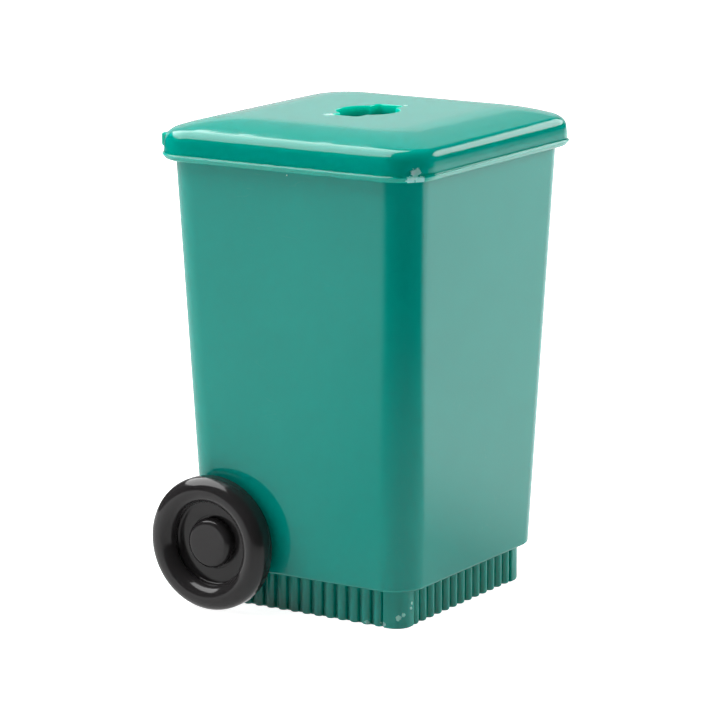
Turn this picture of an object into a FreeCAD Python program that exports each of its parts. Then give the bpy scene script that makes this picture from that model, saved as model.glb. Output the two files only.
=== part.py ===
import FreeCAD, Part
import math
import os
import Sketcher
from FreeCAD import Vector

# A pencil sharpener in the shape of a two-wheeled refuse bin. A pencil goes down through
# the hole in the lid into a wedge sharpener that hangs in a socket under the lid, the
# shavings fall into the bin, and the ribbed base pulls off to empty it.
# Frame: millimetres, +Z up, X across the bin, the wheels at the back (+Y), the origin on
# the floor under the centre of the bin.

DIMENSIONS = [
    # overall
    ("total_height", 65.0),
    ("base_height", 5.3),
    # bin: outside sizes at its lower edge and at its rim
    ("bottom_width", 34.7),
    ("bottom_depth", 33.5),
    ("rim_width", 40.4),
    ("rim_depth", 38.0),
    ("corner_radius", 4.4),
    ("wall", 1.5),
    ("ledge_thickness", 1.5),
    ("foot_chamfer", 0.4),
    # lid
    ("lid_plate", 2.8),
    ("lid_wall", 1.1),
    ("skirt_height", 5.4),
    ("crown_rise", 1.5),
    ("crown_inset", 5.6),
    ("shoulder_round", 1.1),
    ("lip_proud", 0.22),
    ("lip_height", 0.7),
    ("hole_clearance", 0.2),
    ("slot_length", 13.4),
    ("slot_width", 4.0),
    ("tab_width", 31.0),
    ("tab_reach", 1.9),
    ("tab_thickness", 1.8),
    ("tab_top_drop", 2.1),
    # socket under the lid, for the sharpener block
    ("socket_depth", 8.0),
    ("socket_wall", 1.2),
    # sharpener block
    ("block_width", 15.0),
    ("block_end_width", 12.5),
    ("block_thickness", 11.6),
    ("block_length", 25.0),
    ("grip_length", 9.0),
    ("entry_length", 5.0),
    ("bore_radius", 4.0),
    ("tip_radius", 0.5),
    ("cone_angle", 11.3),
    ("seat_cut", 0.15),
    ("throat_width", 3.4),
    ("throat_depth", 1.2),
    # blade and its screw
    ("blade_length", 18.0),
    ("blade_width", 6.4),
    ("blade_thickness", 0.55),
    ("blade_bevel", 0.7),
    ("edge_lead", 0.2),
    ("blade_end_gap", 0.5),
    ("screw_radius", 1.0),
    ("screw_length", 4.2),
    ("screw_inset", 4.2),
    ("head_radius", 1.9),
    ("head_height", 0.9),
    ("driver_slot_width", 0.5),
    ("driver_slot_depth", 0.4),
    # ribbed base
    ("base_width", 31.45),
    ("base_depth", 30.2),
    ("base_corner", 2.2),
    ("base_floor", 1.5),
    ("base_wall", 1.2),
    ("rib_radius", 0.75),
    ("rib_count", 13),
    ("corner_leg", 3.0),
    ("collar_inset", 1.75),
    ("collar_below_axle", 0.2),
    # wheels, axle and hub caps
    ("wheel_radius", 9.0),
    ("wheel_width", 3.0),
    ("wheel_round", 1.45),
    ("dish_radius", 5.9),
    ("dish_depth", 2.0),
    ("axle_radius", 1.25),
    ("axle_back", 11.9),
    ("boss_radius", 2.6),
    ("cap_radius", 3.4),
    ("cap_height", 1.7),
    ("cap_round", 0.45),
    ("cap_bore_depth", 0.95),
    # clearances
    ("push_clearance", 0.15),
    ("seat_clearance", 0.05),
    ("grip_clearance", 0.02),
    ("running_clearance", 0.08),
    ("side_clearance", 0.15),
    ("moving_clearance", 0.3),
]

# Edges count as level, or at one radius, within this distance.
LEVEL = 1e-4

doc = FreeCAD.newDocument("bin_sharpener")
sheet = doc.addObject("Spreadsheet::Sheet", "dims")
for row, (alias, value) in enumerate(DIMENSIONS, start=1):
    sheet.set(f"A{row}", alias)
    sheet.set(f"B{row}", str(value))
    sheet.setAlias(f"B{row}", alias)
doc.recompute()

# Heights and places that several pieces share, as expressions of the driving sizes.
RIM_Z = "(dims.total_height - dims.lid_plate)"
SHOULDER_Z = "(dims.total_height - dims.crown_rise)"
SKIRT_Z = "(dims.total_height - dims.skirt_height)"
AXLE_Z = "dims.wheel_radius"
SIDE_SLOPE = f"((dims.rim_width - dims.bottom_width) / 2 / ({RIM_Z} - dims.base_height))"
DEPTH_SLOPE = f"((dims.rim_depth - dims.bottom_depth) / 2 / ({RIM_Z} - dims.base_height))"
LID_GROWTH = "(dims.push_clearance + dims.lid_wall)"
LID_WIDTH = f"(dims.rim_width + 2 * {LID_GROWTH})"
LID_DEPTH = f"(dims.rim_depth + 2 * {LID_GROWTH})"
LID_CORNER = f"(dims.corner_radius + {LID_GROWTH})"
COLLAR_WIDTH = "(dims.base_width - 2 * dims.collar_inset)"
COLLAR_DEPTH = "(dims.base_depth - 2 * dims.collar_inset)"
# The wheel's inner face clears the bin's leaning side wall at the top of the wheel.
WHEEL_X = (
    f"(dims.bottom_width / 2 + {SIDE_SLOPE} * (2 * dims.wheel_radius - dims.base_height)"
    " + dims.moving_clearance)"
)
BOSS_X = f"({WHEEL_X} - dims.side_clearance)"
CAP_X = f"({WHEEL_X} + dims.wheel_width - dims.dish_depth + dims.side_clearance)"
AXLE_LENGTH = f"(2 * ({CAP_X} + dims.cap_bore_depth))"


def number(expression):
    return float(sheet.evalExpression(str(expression)))


def half(expression):
    return f"({expression}) / 2"


def minus(expression):
    return f"-({expression})"


def origin_feature(body, role):
    return next(f for f in body.Origin.OriginFeatures if f.Role == role)


def new_body(label):
    body = doc.addObject("PartDesign::Body", label)
    body.Label = label
    return body


def new_sketch(body, name, role, lift="0"):
    """A sketch on one of the body's own origin planes, lifted along the plane's normal."""
    sketch = body.newObject("Sketcher::SketchObject", name)
    sketch.AttachmentSupport = [(origin_feature(body, role), "")]
    sketch.MapMode = "FlatFace"
    sketch.setExpression("AttachmentOffset.Base.z", lift)
    return sketch


def bind(sketch, constraint, name, expression):
    index = sketch.addConstraint(constraint)
    sketch.renameConstraint(index, name)
    sketch.setExpression(f"Constraints.{name}", expression)


def place_point(sketch, geometry, position, name, across, up):
    """Hold one point of the sketch at two expressions from the sketch's origin."""
    across_now = Sketcher.Constraint("DistanceX", -1, 1, geometry, position, number(across))
    up_now = Sketcher.Constraint("DistanceY", -1, 1, geometry, position, number(up))
    bind(sketch, across_now, f"{name}_x", across)
    bind(sketch, up_now, f"{name}_y", up)


def draw_rounded_rectangle(sketch, width, depth, corner):
    """Four lines and four tangent arcs, centred on the sketch's origin."""
    radius = number(corner)
    half_w = number(width) / 2
    half_d = number(depth) / 2
    centres = [(1, -1), (1, 1), (-1, 1), (-1, -1)]
    arcs = []
    for quarter, (sx, sy) in enumerate(centres):
        centre = Vector(sx * (half_w - radius), sy * (half_d - radius), 0)
        start = (quarter - 1) * math.pi / 2
        circle = Part.Circle(centre, Vector(0, 0, 1), radius)
        arcs.append(Part.ArcOfCircle(circle, start, start + math.pi / 2))
    geometry = []
    for index, arc in enumerate(arcs):
        geometry.append(Part.LineSegment(arcs[index - 1].EndPoint, arc.StartPoint))
        geometry.append(arc)
    sketch.addGeometry(geometry, False)
    for index in range(8):
        sketch.addConstraint(Sketcher.Constraint("Tangent", index, 2, (index + 1) % 8, 1))
    for index in (0, 4):
        sketch.addConstraint(Sketcher.Constraint("Horizontal", index))
    for index in (2, 6):
        sketch.addConstraint(Sketcher.Constraint("Vertical", index))
    for index in (3, 5, 7):
        sketch.addConstraint(Sketcher.Constraint("Equal", 1, index))
    sketch.addConstraint(Sketcher.Constraint("Symmetric", 1, 3, 5, 3, -1, 1))
    span_x = Sketcher.Constraint("DistanceX", 5, 3, 1, 3, 2 * (half_w - radius))
    span_y = Sketcher.Constraint("DistanceY", 1, 3, 5, 3, 2 * (half_d - radius))
    bind(sketch, Sketcher.Constraint("Radius", 1, radius), "corner", corner)
    bind(sketch, span_x, "span_x", f"{width} - 2 * ({corner})")
    bind(sketch, span_y, "span_y", f"{depth} - 2 * ({corner})")


def draw_polygon(sketch, points):
    """A closed outline of straight lines through points given as pairs of expressions."""
    places = [Vector(number(x), number(y), 0) for x, y in points]
    first = sketch.GeometryCount
    count = len(points)
    for index in range(count):
        sketch.addGeometry(Part.LineSegment(places[index], places[(index + 1) % count]), False)
    for index in range(count):
        following = first + (index + 1) % count
        sketch.addConstraint(Sketcher.Constraint("Coincident", first + index, 2, following, 1))
    for index, (x, y) in enumerate(points):
        place_point(sketch, first + index, 1, f"p{first + index}", x, y)


def draw_box(sketch, low_x, low_y, high_x, high_y):
    draw_polygon(sketch, [(low_x, low_y), (high_x, low_y), (high_x, high_y), (low_x, high_y)])


def draw_circle(sketch, x, y, radius):
    index = sketch.GeometryCount
    circle = Part.Circle(Vector(number(x), number(y), 0), Vector(0, 0, 1), number(radius))
    sketch.addGeometry(circle, False)
    place_point(sketch, index, 3, f"c{index}", x, y)
    bind(sketch, Sketcher.Constraint("Radius", index, number(radius)), f"r{index}", radius)


def extrude(body, kind, sketch, name, length, backwards=False, both_ways=False):
    """A Pad or Pocket of one sketch; the pocket must take something away."""
    before = body.Shape.Volume if kind == "Pocket" else 0.0
    feature = body.newObject(f"PartDesign::{kind}", name)
    feature.Profile = sketch
    feature.setExpression("Length", length)
    feature.Reversed = backwards
    feature.Midplane = both_ways
    doc.recompute()
    if kind == "Pocket" and not body.Shape.Volume < before - LEVEL:
        raise RuntimeError(f"{name} cuts nothing")
    return feature


def loft(body, kind, lower, upper, name):
    feature = body.newObject(f"PartDesign::{kind}Loft", name)
    feature.Profile = lower
    feature.Sections = [upper]
    feature.Ruled = True
    doc.recompute()
    return feature


def turn(body, kind, sketch, name, axis_role):
    feature = body.newObject(f"PartDesign::{kind}", name)
    feature.Profile = sketch
    feature.ReferenceAxis = (origin_feature(body, axis_role), [""])
    feature.Angle = 360
    doc.recompute()
    return feature


def round_edges(body, base, name, radius, wanted):
    """Fillet the edges of base whose centre passes the test."""
    doc.recompute()
    edges = base.Shape.Edges
    names = [f"Edge{i}" for i, edge in enumerate(edges, start=1) if wanted(edge)]
    feature = body.newObject("PartDesign::Fillet", name)
    feature.Base = (base, names)
    feature.setExpression("Radius", radius)
    doc.recompute()
    return feature


def lies_level(edge, height):
    box = edge.BoundBox
    return abs(box.ZMin - height) < LEVEL and abs(box.ZMax - height) < LEVEL


def make_bin_body():
    """The tapered bin: open at the rim, with a ledge round the opening for the base."""
    body = new_body("bin_body")
    foot_inset = "2 * dims.foot_chamfer"
    foot = new_sketch(body, "bin_foot", "XY_Plane", "dims.base_height")
    draw_rounded_rectangle(
        foot,
        f"(dims.bottom_width - {foot_inset})",
        f"(dims.bottom_depth - {foot_inset})",
        "(dims.corner_radius - dims.foot_chamfer)",
    )
    waist_z = "dims.base_height + dims.foot_chamfer"
    waist = new_sketch(body, "bin_waist", "XY_Plane", waist_z)
    draw_rounded_rectangle(waist, "dims.bottom_width", "dims.bottom_depth", "dims.corner_radius")
    rim = new_sketch(body, "bin_rim", "XY_Plane", RIM_Z)
    draw_rounded_rectangle(rim, "dims.rim_width", "dims.rim_depth", "dims.corner_radius")
    loft(body, "Additive", foot, waist, "foot_edge")
    waist_again = new_sketch(body, "bin_lower_outline", "XY_Plane", waist_z)
    draw_rounded_rectangle(
        waist_again, "dims.bottom_width", "dims.bottom_depth", "dims.corner_radius"
    )
    loft(body, "Additive", waist_again, rim, "bin_outside")

    inner_corner = "(dims.corner_radius - dims.wall)"
    ledge_top = "(dims.base_height + dims.ledge_thickness)"
    low_width = f"(dims.bottom_width + 2 * {SIDE_SLOPE} * dims.ledge_thickness - 2 * dims.wall)"
    low_depth = f"(dims.bottom_depth + 2 * {DEPTH_SLOPE} * dims.ledge_thickness - 2 * dims.wall)"
    inner_foot = new_sketch(body, "bin_inner_foot", "XY_Plane", ledge_top)
    draw_rounded_rectangle(inner_foot, low_width, low_depth, inner_corner)
    inner_rim = new_sketch(body, "bin_inner_rim", "XY_Plane", RIM_Z)
    inner_width = "(dims.rim_width - 2 * dims.wall)"
    inner_depth = "(dims.rim_depth - 2 * dims.wall)"
    draw_rounded_rectangle(inner_rim, inner_width, inner_depth, inner_corner)
    loft(body, "Subtractive", inner_foot, inner_rim, "bin_inside")

    opening = new_sketch(body, "base_opening", "XY_Plane", ledge_top)
    draw_rounded_rectangle(
        opening,
        f"({COLLAR_WIDTH} + 2 * dims.push_clearance)",
        f"({COLLAR_DEPTH} + 2 * dims.push_clearance)",
        "(dims.base_corner + dims.push_clearance)",
    )
    extrude(body, "Pocket", opening, "base_opening_cut", "dims.ledge_thickness + 1")

    # A round boss on each side gives the wheel a flat face to run against.
    boss_root = f"(dims.bottom_width / 2 + {SIDE_SLOPE} * ({AXLE_Z} - dims.base_height)"
    boss_root += " - dims.wall / 2)"
    boss_profile = new_sketch(body, "boss_profile", "YZ_Plane", boss_root)
    draw_circle(boss_profile, "dims.axle_back", AXLE_Z, "dims.boss_radius")
    boss = extrude(body, "Pad", boss_profile, "boss", f"{BOSS_X} - {boss_root}")
    mirrored = body.newObject("PartDesign::Mirrored", "boss_pair")
    mirrored.Originals = [boss]
    mirrored.MirrorPlane = (origin_feature(body, "YZ_Plane"), [""])
    body.Tip = mirrored
    doc.recompute()

    axle_profile = new_sketch(body, "axle_bore_profile", "YZ_Plane")
    draw_circle(axle_profile, "dims.axle_back", AXLE_Z, "dims.axle_radius + dims.grip_clearance")
    extrude(body, "Pocket", axle_profile, "axle_bore", "2 * dims.rim_width", both_ways=True)
    return body


def make_lid():
    """The press-on lid: skirt, sloped border, flat top, pencil hole, socket and rear tab."""
    body = new_body("lid")
    skirt = new_sketch(body, "skirt_outline", "XY_Plane", SKIRT_Z)
    draw_rounded_rectangle(skirt, LID_WIDTH, LID_DEPTH, LID_CORNER)
    extrude(body, "Pad", skirt, "skirt", f"{SHOULDER_Z} - {SKIRT_Z}")
    shoulder = new_sketch(body, "shoulder_outline", "XY_Plane", SHOULDER_Z)
    draw_rounded_rectangle(shoulder, LID_WIDTH, LID_DEPTH, LID_CORNER)
    crown = new_sketch(body, "crown_outline", "XY_Plane", "dims.total_height")
    crown_width = f"({LID_WIDTH} - 2 * dims.crown_inset)"
    crown_depth = f"({LID_DEPTH} - 2 * dims.crown_inset)"
    draw_rounded_rectangle(crown, crown_width, crown_depth, f"{half(LID_CORNER)}")
    border = loft(body, "Additive", shoulder, crown, "sloped_border")
    shoulder_z = number(SHOULDER_Z)
    rounded = "dims.shoulder_round"
    round_edges(body, border, "shoulder", rounded, lambda e: lies_level(e, shoulder_z))

    lip = new_sketch(body, "lip_outline", "XY_Plane", SKIRT_Z)
    draw_rounded_rectangle(
        lip,
        f"({LID_WIDTH} + 2 * dims.lip_proud)",
        f"({LID_DEPTH} + 2 * dims.lip_proud)",
        f"({LID_CORNER} + dims.lip_proud)",
    )
    extrude(body, "Pad", lip, "lip", "dims.lip_height")

    tab = new_sketch(body, "tab_outline", "XY_Plane", "dims.total_height - dims.tab_top_drop")
    draw_box(
        tab,
        minus(half("dims.tab_width")),
        f"{half(LID_DEPTH)} - dims.lid_wall",
        half("dims.tab_width"),
        f"{half(LID_DEPTH)} + dims.tab_reach",
    )
    tab_pad = extrude(body, "Pad", tab, "rear_tab", "dims.tab_thickness", backwards=True)
    tab_y = number(f"{half(LID_DEPTH)} + dims.tab_reach")

    def is_tab_end(edge):
        box = edge.BoundBox
        return box.YMin > tab_y - LEVEL and box.ZLength > LEVEL

    round_edges(body, tab_pad, "tab_ends", half("dims.tab_reach"), is_tab_end)

    cavity = new_sketch(body, "skirt_cavity", "XY_Plane", RIM_Z)
    draw_rounded_rectangle(
        cavity,
        "(dims.rim_width + 2 * dims.push_clearance)",
        "(dims.rim_depth + 2 * dims.push_clearance)",
        "(dims.corner_radius + dims.push_clearance)",
    )
    extrude(body, "Pocket", cavity, "skirt_inside", f"{RIM_Z} - {SKIRT_Z} + 1")

    socket_x = "(dims.block_width / 2 + dims.seat_clearance)"
    socket_y = "(dims.block_thickness / 2 + dims.seat_clearance)"
    outer_x = f"{socket_x} + dims.socket_wall"
    outer_y = f"{socket_y} + dims.socket_wall"
    socket = new_sketch(body, "socket_outline", "XY_Plane", RIM_Z)
    draw_box(socket, minus(outer_x), minus(outer_y), outer_x, outer_y)
    draw_box(socket, minus(socket_x), minus(socket_y), socket_x, socket_y)
    extrude(body, "Pad", socket, "socket", "dims.socket_depth", backwards=True)

    hole = new_sketch(body, "pencil_hole_outline", "XY_Plane", "dims.total_height")
    draw_circle(hole, "0", "0", "dims.bore_radius + dims.hole_clearance")
    extrude(body, "Pocket", hole, "pencil_hole", "dims.lid_plate")
    slot = new_sketch(body, "slot_outline", "XY_Plane", "dims.total_height")
    slot_x = half("dims.slot_length")
    slot_y = half("dims.slot_width")
    draw_box(slot, minus(slot_x), minus(slot_y), slot_x, slot_y)
    extrude(body, "Pocket", slot, "slot", "dims.lid_plate")
    return body


def make_base_plug():
    """The ribbed tray that closes the bin from below, with a collar that pushes into it."""
    body = new_body("base_plug")
    outline = new_sketch(body, "base_outline", "XY_Plane")
    draw_rounded_rectangle(outline, "dims.base_width", "dims.base_depth", "dims.base_corner")
    extrude(body, "Pad", outline, "base_block", "dims.base_height")

    # Between its plain corners each side steps back, and upright ribs fill the step.
    half_w = half("dims.base_width")
    half_d = half("dims.base_depth")
    leg_x = f"({half_w} - dims.corner_leg)"
    leg_y = f"({half_d} - dims.corner_leg)"
    channels = new_sketch(body, "rib_channels", "XY_Plane", "dims.base_height")
    draw_box(channels, minus(leg_x), f"-{half_d} - 1", leg_x, f"-{half_d} + dims.rib_radius")
    draw_box(channels, minus(leg_x), f"{half_d} - dims.rib_radius", leg_x, f"{half_d} + 1")
    draw_box(channels, f"-{half_w} - 1", minus(leg_y), f"-{half_w} + dims.rib_radius", leg_y)
    draw_box(channels, f"{half_w} - dims.rib_radius", minus(leg_y), f"{half_w} + 1", leg_y)
    extrude(body, "Pocket", channels, "rib_channel_cut", "dims.base_height + 1")

    face_x = f"({half_w} - dims.rib_radius)"
    face_y = f"({half_d} - dims.rib_radius)"
    pitch_x = f"(2 * {leg_x} / dims.rib_count)"
    pitch_y = f"(2 * {leg_y} / dims.rib_count)"
    first_x = f"-{leg_x} + {pitch_x} / 2"
    first_y = f"-{leg_y} + {pitch_y} / 2"
    runs = [
        ("front_rear", "X_Axis", [(first_x, minus(face_y)), (first_x, face_y)], pitch_x),
        ("side", "Y_Axis", [(minus(face_x), first_y), (face_x, first_y)], pitch_y),
    ]
    for name, axis_role, centres, pitch in runs:
        profile = new_sketch(body, f"{name}_rib_profile", "XY_Plane")
        for x, y in centres:
            draw_circle(profile, x, y, "dims.rib_radius")
        rib = extrude(body, "Pad", profile, f"{name}_rib", "dims.base_height")
        pattern = body.newObject("PartDesign::LinearPattern", f"{name}_ribs")
        pattern.Originals = [rib]
        pattern.Direction = (origin_feature(body, axis_role), [""])
        pattern.setExpression("Length", f"{pitch} * (dims.rib_count - 1)")
        pattern.setExpression("Occurrences", "dims.rib_count")
        body.Tip = pattern
        doc.recompute()

    collar = new_sketch(body, "collar_outline", "XY_Plane", "dims.base_height")
    draw_rounded_rectangle(collar, COLLAR_WIDTH, COLLAR_DEPTH, "dims.base_corner")
    collar_top = f"({AXLE_Z} - dims.collar_below_axle)"
    extrude(body, "Pad", collar, "collar", f"{collar_top} - dims.base_height")

    tray = new_sketch(body, "tray_outline", "XY_Plane", collar_top)
    draw_rounded_rectangle(
        tray,
        f"({COLLAR_WIDTH} - 2 * dims.base_wall)",
        f"({COLLAR_DEPTH} - 2 * dims.base_wall)",
        "(dims.base_corner - dims.base_wall)",
    )
    extrude(body, "Pocket", tray, "tray", f"{collar_top} - dims.base_floor")

    # The back of the collar is lower, because the axle crosses the bin just above it.
    relief = new_sketch(body, "axle_relief_outline", "XY_Plane", f"{collar_top} + 1")
    axle_room = "(dims.axle_radius + dims.moving_clearance)"
    draw_box(relief, minus(half_w), f"dims.axle_back - {axle_room}", half_w, f"{half_d} + 1")
    relief_depth = f"{collar_top} + 1 - ({AXLE_Z} - {axle_room})"
    extrude(body, "Pocket", relief, "axle_relief", relief_depth)
    return body


# The blade's seat leans with the pencil's cone; its frame starts at the entry's lower end.
SEAT_BASE = f"vector(0; dims.bore_radius - dims.seat_cut; {RIM_Z} - dims.entry_length)"
SEAT_TURN = "rotation(vector(1; 0; 0); -dims.cone_angle)"
SEAT_FRAME = f"placement({SEAT_BASE}; {SEAT_TURN})"
CONE_LENGTH = "((dims.bore_radius - dims.tip_radius) / tan(dims.cone_angle * 1deg))"


def make_block_blank():
    """The wedge: straight where the socket holds it, then narrowing, with a round entry."""
    body = new_body("block_blank")
    body.setExpression("Placement.Base.z", RIM_Z)
    outline = new_sketch(body, "block_outline", "XZ_Plane")
    top_x = half("dims.block_width")
    end_x = half("dims.block_end_width")
    draw_polygon(
        outline,
        [
            (minus(top_x), "0"),
            (minus(top_x), "-dims.grip_length"),
            (minus(end_x), "-dims.block_length"),
            (end_x, "-dims.block_length"),
            (top_x, "-dims.grip_length"),
            (top_x, "0"),
        ],
    )
    extrude(body, "Pad", outline, "wedge", "dims.block_thickness", both_ways=True)

    seat = new_sketch(body, "seat_outline", "YZ_Plane")
    seat_y = "dims.bore_radius - dims.seat_cut"
    far_y = "dims.block_thickness"
    run = "(dims.block_length + 1 - dims.entry_length)"
    draw_polygon(
        seat,
        [
            (seat_y, "-dims.entry_length"),
            (f"{seat_y} - {run} * tan(dims.cone_angle * 1deg)", "-dims.block_length - 1"),
            (far_y, "-dims.block_length - 1"),
            (far_y, "-dims.entry_length"),
        ],
    )
    extrude(body, "Pocket", seat, "blade_seat", "2 * dims.block_width", both_ways=True)

    bore = new_sketch(body, "bore_outline", "XZ_Plane")
    cone_end = f"-dims.entry_length - {CONE_LENGTH}"
    draw_polygon(
        bore,
        [
            ("0", "1"),
            ("dims.bore_radius", "1"),
            ("dims.bore_radius", "-dims.entry_length"),
            ("dims.tip_radius", cone_end),
            ("dims.tip_radius", "-dims.block_length - 1"),
            ("0", "-dims.block_length - 1"),
        ],
    )
    turn(body, "Groove", bore, "pencil_bore", "Z_Axis")
    return body


def on_seat(feature, across, outward, along):
    """Place an object in the blade seat's frame: across, out of the seat, down its length."""
    local = f"placement(vector({across}; {outward}; -({along})); rotation(vector(0; 0; 1); 0))"
    feature.setExpression("Placement", f"{SEAT_FRAME} * {local}")


SCREW_ACROSS = "(dims.screw_inset - dims.edge_lead)"
SCREW_ALONG = "(dims.blade_end_gap + dims.blade_length / 2)"


def make_sharpener_block():
    """The wedge with its screw hole and the throat that lets the shavings out."""
    blank = make_block_blank()
    screw_hole = doc.addObject("Part::Cylinder", "screw_hole")
    screw_hole.setExpression("Radius", "dims.screw_radius + dims.grip_clearance")
    screw_hole.setExpression("Height", "dims.screw_length + 1")
    hole_base = f"vector({SCREW_ACROSS}; -dims.screw_length; -{SCREW_ALONG})"
    upright = "rotation(vector(1; 0; 0); -90)"
    hole_place = f"placement({hole_base}; {upright})"
    screw_hole.setExpression("Placement", f"{SEAT_FRAME} * {hole_place}")
    throat = doc.addObject("Part::Box", "throat")
    throat.setExpression("Length", "dims.throat_width")
    throat.setExpression("Width", "dims.throat_depth + 1")
    throat.setExpression("Height", "dims.blade_length")
    on_seat(
        throat,
        "-dims.throat_width - dims.edge_lead",
        "-dims.throat_depth",
        "dims.blade_length + dims.blade_end_gap",
    )
    cuts = doc.addObject("Part::MultiFuse", "block_cuts")
    cuts.Shapes = [screw_hole, throat]
    block = doc.addObject("Part::Cut", "sharpener_block")
    block.Base = blank
    block.Tool = cuts
    block.Label = "sharpener_block"
    doc.recompute()
    return block


def make_blade():
    """A flat steel blade, bevelled along its cutting edge, with one hole for its screw."""
    body = new_body("blade")
    on_seat(body, "0", "0", "dims.blade_end_gap")
    outline = new_sketch(body, "blade_section", "XY_Plane")
    back = "dims.blade_width - dims.edge_lead"
    draw_polygon(
        outline,
        [
            ("-dims.edge_lead", "0"),
            (back, "0"),
            (back, "dims.blade_thickness"),
            ("dims.blade_bevel - dims.edge_lead", "dims.blade_thickness"),
        ],
    )
    extrude(body, "Pad", outline, "blade_strip", "dims.blade_length", backwards=True)
    hole = new_sketch(body, "blade_hole_outline", "XZ_Plane")
    radius = "dims.screw_radius + dims.grip_clearance"
    draw_circle(hole, SCREW_ACROSS, "-dims.blade_length / 2", radius)
    extrude(body, "Pocket", hole, "blade_hole", "4 * dims.blade_thickness", both_ways=True)
    return body


def make_blade_screw():
    """A small slotted screw whose head holds the blade down."""
    body = new_body("blade_screw")
    on_seat(body, SCREW_ACROSS, "dims.blade_thickness", SCREW_ALONG)
    profile = new_sketch(body, "screw_profile", "XY_Plane")
    tip = "-dims.screw_length"
    draw_polygon(
        profile,
        [
            ("0", tip),
            ("dims.screw_radius", tip),
            ("dims.screw_radius", "0"),
            ("dims.head_radius", "0"),
            ("dims.head_radius", "dims.head_height"),
            ("0", "dims.head_height"),
        ],
    )
    turn(body, "Revolution", profile, "screw_turned", "Y_Axis")
    slot = new_sketch(body, "driver_slot_outline", "XY_Plane")
    slot_x = half("dims.driver_slot_width")
    slot_floor = "dims.head_height - dims.driver_slot_depth"
    draw_box(slot, minus(slot_x), slot_floor, slot_x, "dims.head_height + 1")
    extrude(body, "Pocket", slot, "driver_slot", "4 * dims.head_radius", both_ways=True)
    return body


def on_axle(body, side):
    """Put a turned piece on the axle line; the left one is turned to face the other way."""
    turned = 0 if side > 0 else 180
    body.setExpression(
        "Placement",
        f"placement(vector(0; dims.axle_back; {AXLE_Z}); rotation(vector(0; 0; 1); {turned}))",
    )


def make_axle():
    body = new_body("axle")
    on_axle(body, 1)
    profile = new_sketch(body, "axle_profile", "YZ_Plane")
    draw_circle(profile, "0", "0", "dims.axle_radius")
    extrude(body, "Pad", profile, "axle_rod", AXLE_LENGTH, both_ways=True)
    return body


def make_wheel(label, side):
    """A wheel with a rounded tyre and a dished outer face, turned about the axle."""
    body = new_body(label)
    on_axle(body, side)
    profile = new_sketch(body, f"{label}_profile", "XZ_Plane")
    outer_face = f"({WHEEL_X} + dims.wheel_width)"
    dish_floor = f"({outer_face} - dims.dish_depth)"
    bore = "dims.axle_radius + dims.running_clearance"
    draw_polygon(
        profile,
        [
            (WHEEL_X, bore),
            (WHEEL_X, "dims.wheel_radius"),
            (outer_face, "dims.wheel_radius"),
            (outer_face, "dims.dish_radius"),
            (dish_floor, "dims.dish_radius"),
            (dish_floor, bore),
        ],
    )
    turned = turn(body, "Revolution", profile, f"{label}_turned", "X_Axis")
    radius = number("dims.wheel_radius")
    brim = number("dims.dish_radius")
    outer = number(outer_face)

    def is_round(edge):
        if not isinstance(edge.Curve, Part.Circle):
            return False
        on_tyre = abs(edge.Curve.Radius - radius) < LEVEL
        on_brim = abs(edge.Curve.Radius - brim) < LEVEL and edge.BoundBox.XMin > outer - LEVEL
        return on_tyre or on_brim

    round_edges(body, turned, f"{label}_tyre", "dims.wheel_round", is_round)
    return body


def make_hub_cap(label, side):
    """A round button pressed on the end of the axle; it keeps the wheel on."""
    body = new_body(label)
    on_axle(body, side)
    profile = new_sketch(body, f"{label}_profile", "XZ_Plane")
    outer_face = f"({CAP_X} + dims.cap_height)"
    bore = "dims.axle_radius + dims.grip_clearance"
    bore_end = f"({CAP_X} + dims.cap_bore_depth)"
    draw_polygon(
        profile,
        [
            (CAP_X, bore),
            (CAP_X, "dims.cap_radius"),
            (outer_face, "dims.cap_radius"),
            (outer_face, "0"),
            (bore_end, "0"),
            (bore_end, bore),
        ],
    )
    turned = turn(body, "Revolution", profile, f"{label}_turned", "X_Axis")
    outer = number(outer_face)

    def is_rim(edge):
        return edge.BoundBox.XMin > outer - LEVEL

    round_edges(body, turned, f"{label}_edge", "dims.cap_round", is_rim)
    return body


pieces = [
    make_bin_body(),
    make_lid(),
    make_base_plug(),
    make_sharpener_block(),
    make_blade(),
    make_blade_screw(),
    make_axle(),
    make_wheel("wheel_left", -1),
    make_wheel("wheel_right", 1),
    make_hub_cap("hub_cap_left", -1),
    make_hub_cap("hub_cap_right", 1),
]
doc.recompute()

for item in doc.Objects:
    if "Invalid" in item.State or "Error" in item.State:
        raise RuntimeError(f"{item.Name} failed: {item.State}")
for piece in pieces:
    if piece.Shape.isNull() or not piece.Shape.isValid():
        raise RuntimeError(f"{piece.Label} has no valid shape")

os.makedirs("parts", exist_ok=True)
for piece in pieces:
    piece.Shape.exportStep(f"parts/{piece.Label}.step")
    box = piece.Shape.BoundBox
    low = f"({box.XMin:.2f}, {box.YMin:.2f}, {box.ZMin:.2f})"
    high = f"({box.XMax:.2f}, {box.YMax:.2f}, {box.ZMax:.2f})"
    print(piece.Label, len(piece.Shape.Solids), low, high, f"{piece.Shape.Volume:.1f} mm3")
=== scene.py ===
# %% [markdown]
# # A pencil sharpener shaped like a wheeled refuse bin
# The object is 65 mm tall: a tapered green bin, a push-on lid with a pencil hole, a ribbed
# base that pulls off, and two black wheels on an axle. This lesson gives the plain packed
# model its looks: smooth rounded mouldings, glossy plastic, ground steel and studio light.

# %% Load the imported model
import math
import random

import bpy
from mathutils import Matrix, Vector, noise
from mathutils.geometry import tessellate_polygon


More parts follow.
